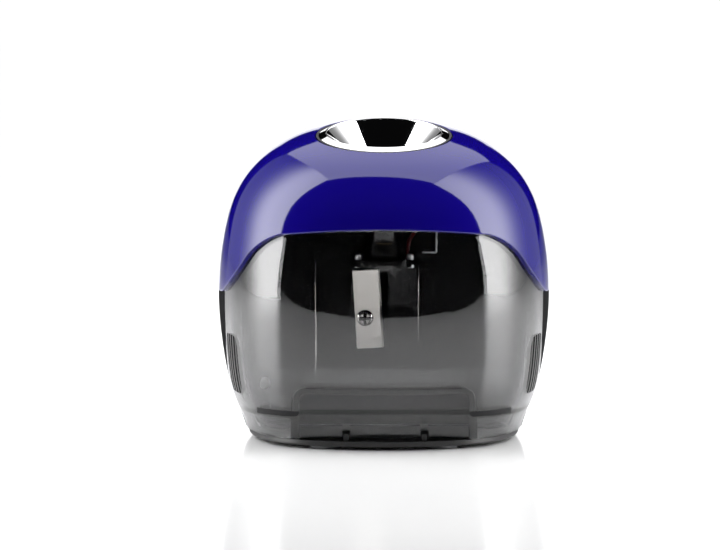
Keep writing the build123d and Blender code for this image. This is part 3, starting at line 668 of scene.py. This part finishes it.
def edge_reach(angle, lift=0.0, inset=0.0):
    """How far along the outline the dome's lower edge lies in one direction."""
    low, high = station_knots[1], station_knots[-2]
    in_front = cos(angle) > 0.0
    for _ in range(40):
        middle = (low + high) / 2
        point = body_point(angle, middle, inset)
        limit = arch_height(point.x) if in_front else PARTING
        if point.z < limit + lift:
            low = middle
        else:
            high = middle
    return (low + high) / 2


def grid_mesh(name, rows, closed):
    """Quads between rows of points; closed joins each row's end to its start."""
    mesh = bpy.data.meshes.new(name)
    width = len(rows[0])
    points = [point * MM for row in rows for point in row]
    faces = []
    for r in range(len(rows) - 1):
        for c in range(width if closed else width - 1):
            d = (c + 1) % width
            faces.append((r * width + c, r * width + d, (r + 1) * width + d, (r + 1) * width + c))
    mesh.from_pydata(points, [], faces)
    mesh.polygons.foreach_set("use_smooth", [True] * len(faces))
    mesh.update()
    return mesh


def thicken(item, wall, edge_round):
    """Give a surface its wall inwards and round the edges."""
    shell = item.modifiers.new("wall", "SOLIDIFY")
    shell.thickness = wall * MM
    shell.offset = -1.0
    shell.use_even_offset = True
    bevel = item.modifiers.new("rounded_edges", "BEVEL")
    bevel.width = edge_round * MM
    bevel.segments = 3
    bevel.limit_method = "ANGLE"
    bevel.angle_limit = radians(48.0)
    bevel.harden_normals = True


DOME_COLUMNS = 240
DOME_ROWS = 64
dome_rows = []
dome_angles = [2 * pi * c / DOME_COLUMNS for c in range(DOME_COLUMNS)]
starts = [edge_reach(angle) for angle in dome_angles]
for r in range(DOME_ROWS + 1):
    share = r / DOME_ROWS
    row = []
    for angle, start in zip(dome_angles, starts):
        row.append(body_point(angle, start + (station_knots[-1] - start) * share))
    dome_rows.append(row)
dome = new_object("blue_dome", grid_mesh("blue_dome", dome_rows, True))
thicken(dome, DOME_WALL, 0.35)
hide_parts("upper_housing")
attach(dome, "housing")

blue_gloss = Finish("deep_blue_gloss")
peel = blue_gloss.noise(520.0, 2.0)
pigment = blue_gloss.noise(45.0, 3.0)
blue_gloss.set(
    Base_Color=blue_gloss.tint(pigment, rgb(0.0034, 0.0012, 0.118), rgb(0.0042, 0.0015, 0.134)),
    Roughness=0.045 + 0.03 * pigment,
    IOR=1.52,
    Normal=blue_gloss.bump(peel, 0.000004),
)
blue_gloss.on(dome)

# ---------------------------------------------------------------- bin floor edge and recess wall
# Where the bin's floor and the wall round its finger recess meet the front, smoke-grey plastic
# seen end on looks almost black. A dark strip let into the face stands in for both of them.
STRIP_PATH = [(-37.5, 10.7), (-26.0, 10.7), (-26.0, 18.2), (26.0, 18.2), (26.0, 10.7), (37.5, 10.7)]
STRIP_CORNER = (0.0, 0.9, 3.6, 3.6, 0.9, 0.0)
STRIP_HALF = 0.85
STRIP_DEPTH = 0.9
STRIP_PROUD = 0.08
INSET_FROM = 12.0
INSET_TO = 40.0
INSET_DEPTH = 1.4


def visor_inset(height):
    """How far the bin's outer face stands inside the body's face."""
    return INSET_DEPTH * smooth(INSET_FROM, INSET_TO, height)


def face_depth(x, height, inset):
    """Front y of the body's face at x and height, in millimetres."""
    low, high = -radians(85), radians(85)
    reach_low, reach_high = station_knots[0], station_knots[-1]
    for _ in range(30):
        reach = (reach_low + reach_high) / 2
        if outline_at(reach)[0] < height:
            reach_low = reach
        else:
            reach_high = reach
    for _ in range(40):
        angle = (low + high) / 2
        if body_point(angle, reach, inset).x < x:
            low = angle
        else:
            high = angle
    return body_point(angle, reach, inset).y


def rounded_path(points, radii, step=0.6):
    """Points along straight runs with round corners."""
    path = []
    for k, point in enumerate(points):
        here = Vector(point)
        if radii[k] == 0.0:
            path.append(here)
            continue
        before = (Vector(points[k - 1]) - here).normalized()
        after = (Vector(points[k + 1]) - here).normalized()
        for share in np.linspace(0.0, 1.0, 9):
            a, b = here + before * radii[k], here + after * radii[k]
            path.append(a * (1 - share) ** 2 + here * (2 * share * (1 - share)) + b * share**2)
    dense = []
    for a, b in zip(path, path[1:]):
        count = max(1, int((b - a).length / step))
        dense += [a.lerp(b, k / count) for k in range(count)]
    return dense + [path[-1]]


strip_line = rounded_path(STRIP_PATH, STRIP_CORNER)
strip_rows = [[], [], [], []]
for k, point in enumerate(strip_line):
    ahead = strip_line[min(k + 1, len(strip_line) - 1)] - strip_line[max(k - 1, 0)]
    side = Vector((-ahead.y, ahead.x)).normalized() * STRIP_HALF
    for row, sign, deep in ((0, 1, 0), (1, -1, 0), (2, -1, 1), (3, 1, 1)):
        spot = point + side * sign
        front = face_depth(spot.x, spot.y, visor_inset(spot.y))
        strip_rows[row].append(Vector((spot.x, front - STRIP_PROUD + STRIP_DEPTH * deep, spot.y)))
strip_mesh = bpy.data.meshes.new("bin_wall_strip")
strip_columns = len(strip_line)
strip_points = [point * MM for row in strip_rows for point in row]
strip_faces = []
for row in range(4):
    after = (row + 1) % 4
    for k in range(strip_columns - 1):
        corner = (row * strip_columns + k, row * strip_columns + k + 1)
        strip_faces.append((*corner, after * strip_columns + k + 1, after * strip_columns + k))
strip_faces.append(tuple(row * strip_columns for row in range(4)))
strip_faces.append(tuple(reversed([row * strip_columns + strip_columns - 1 for row in range(4)])))
strip_mesh.from_pydata(strip_points, [], strip_faces)
strip = new_object("bin_wall_strip", strip_mesh)
strip_round = strip.modifiers.new("rounded_edges", "BEVEL")
strip_round.width = 0.12 * MM
strip_round.segments = 2
strip_round.limit_method = "ANGLE"
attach(strip, "bin")
deep_smoke = Finish("deep_smoke_plastic")
deep_cloud = deep_smoke.noise(400.0, 3.0)
deep_smoke.set(
    Base_Color=deep_smoke.tint(deep_cloud, rgb(0.006, 0.006, 0.007), rgb(0.014, 0.014, 0.015)),
    Roughness=0.25 + 0.15 * deep_cloud,
    IOR=1.24,
)
deep_smoke.on(strip)

# ---------------------------------------------------------------- chamber wires
# Fine bright steel wires on the front edges of the chamber wall's ribs, and the start switch's
# steel leaf that shows beside the cutter.
WIRE_SPOTS = [(-20.3, 13.5, 51.5), (10.2, 27.5, 50.5), (-4.3, 13.5, 20.5), (5.3, 13.5, 20.5)]
WIRE_R = 0.22
ROD_SIDES = 20
ROD_END = 0.9


def round_rod(name, start, end, radius):
    """A rod with softly rounded ends, turned along the line from start to end."""
    rod_mesh = bpy.data.meshes.new(name)
    start, end = Vector(start), Vector(end)
    length = (end - start).length
    profile = [(0.0, 0.0)]
    for k in range(1, 7):
        a = pi / 2 * k / 6
        profile.append((radius * sin(a), radius * ROD_END * (1 - cos(a))))
    profile += [(r, length - z) for r, z in reversed(profile)]
    turns = ROD_SIDES
    points, faces = [], []
    for r, z in profile:
        for t in range(turns):
            points.append(Vector((r * cos(2 * pi * t / turns), r * sin(2 * pi * t / turns), z)))
    for k in range(len(profile) - 1):
        for t in range(turns):
            after = (t + 1) % turns
            faces.append((k * turns + t, k * turns + after, (k + 1) * turns + after, (k + 1) * turns + t))
    rod_mesh.from_pydata([point * MM for point in points], [], faces)
    aim = (end - start).to_track_quat("Z", "Y").to_matrix().to_4x4()
    rod_mesh.transform(Matrix.Translation(start * MM) @ aim)
    welder = bmesh.new()
    welder.from_mesh(rod_mesh)
    bmesh.ops.remove_doubles(welder, verts=welder.verts, dist=1e-7)
    welder.to_mesh(rod_mesh)
    welder.free()
    rod_mesh.polygons.foreach_set("use_smooth", [True] * len(rod_mesh.polygons))
    return new_object(name, rod_mesh)


RIB_FRONT = 4.72
LEAF_R = 0.34
LEAF_TIP = (11.3, -1.5, 54.7)
LEAF_BEND = (15.65, -1.5, 54.7)
LEAF_TOP = (15.65, -1.5, 65.3)
leaf_flat = round_rod("switch_leaf_flat", LEAF_TIP, LEAF_BEND, LEAF_R)
leaf_stem = round_rod("switch_leaf_stem", LEAF_BEND, LEAF_TOP, LEAF_R)
for leaf in (leaf_flat, leaf_stem):
    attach(leaf, "housing")
    bright_steel.on(leaf)
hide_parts("contact_leaf")
for number, (x, low, high) in enumerate(WIRE_SPOTS, 1):
    wire = round_rod(f"rib_wire_{number}", (x, RIB_FRONT, low), (x, RIB_FRONT, high), WIRE_R)
    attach(wire, "housing")
    polished.on(wire)

# ---------------------------------------------------------------- funnel dish and its seat
# Chrome-plated dish that guides the pencil to the cutter. It sits in a black ring in the
# dome's opening.
chrome = Finish("chrome_plate")
plating = chrome.noise(120.0, 2.0)
chrome.set(
    Base_Color=chrome.tint(plating, rgb(0.86, 0.86, 0.87), rgb(0.90, 0.90, 0.91)),
    Metallic=1.0,
    Roughness=0.025 + 0.02 * plating,
)
chrome.on(nodes["funnel_dish"])
black_outer.on(nodes["dish_seat"])
